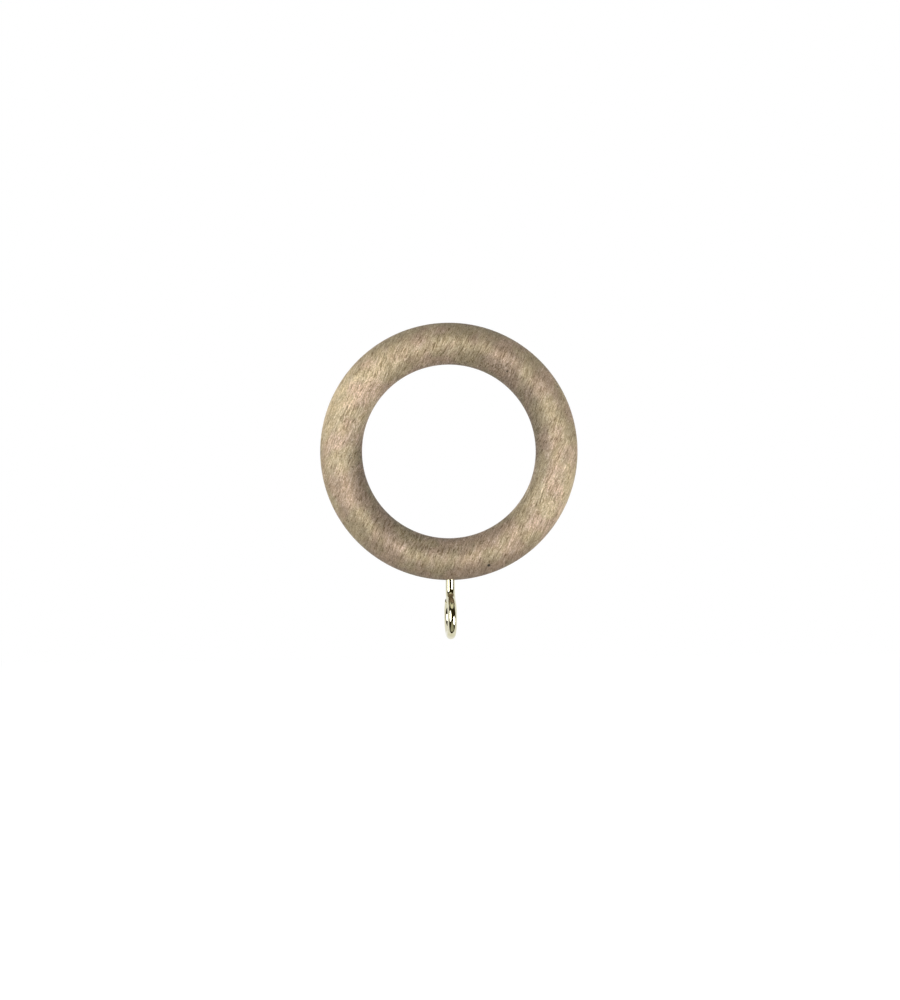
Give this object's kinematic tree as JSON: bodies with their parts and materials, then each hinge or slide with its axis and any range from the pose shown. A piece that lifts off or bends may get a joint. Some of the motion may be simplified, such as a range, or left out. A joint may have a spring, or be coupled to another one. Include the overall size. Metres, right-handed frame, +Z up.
{
  "type": "wooden curtain ring",
  "caption": "Turned wooden ring of round section that slides along a curtain pole, with a bent brass wire screw eye driven into its underside to take a curtain hook.",
  "frame": {"origin": "centre of the wooden ring, on the axis of the hole that the pole passes through", "axes": "+Y along the pole, +Z up from the screw eye through the centre of the ring, +X across the ring"},
  "size_m": [0.07, 0.0122, 0.0861],
  "materials": {
    "stained_wood": "light grey tan stain, dead satin, fine straight open grain",
    "brass_wire": "pale polished brass"
  },
  "bodies": {
    "root": {"wooden_ring": "stained_wood", "screw_eye": "brass_wire"}
  },
  "joints": []
}
